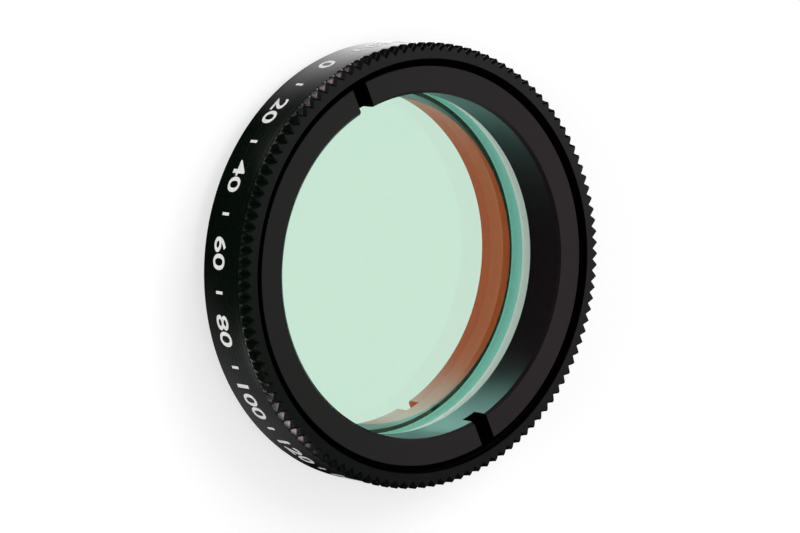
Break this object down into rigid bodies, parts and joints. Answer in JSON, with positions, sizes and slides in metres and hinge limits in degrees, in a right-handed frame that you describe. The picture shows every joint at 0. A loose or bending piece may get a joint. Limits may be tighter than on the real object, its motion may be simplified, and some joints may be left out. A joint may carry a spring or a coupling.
{
  "type": "threaded optical filter",
  "caption": "Screw-in optical filter: a coated glass disc in a knurled round cell, clamped by a slotted retaining ring.",
  "frame": {"origin": "centre of the rear face, on the optical axis, where the part rests", "axes": "+Z along the optical axis, out of the front face with the retaining ring; +X through a spanner slot"},
  "size_m": [0.03, 0.03, 0.006],
  "materials": {
    "black_anodised": "black anodised, satin",
    "coated_glass": "polished, interference coated",
    "black_anodised_ring": "black anodised, fine turned"
  },
  "bodies": {
    "root": {"filter_cell": "black_anodised", "filter_glass": "coated_glass", "retaining_ring": "black_anodised_ring"}
  },
  "joints": []
}
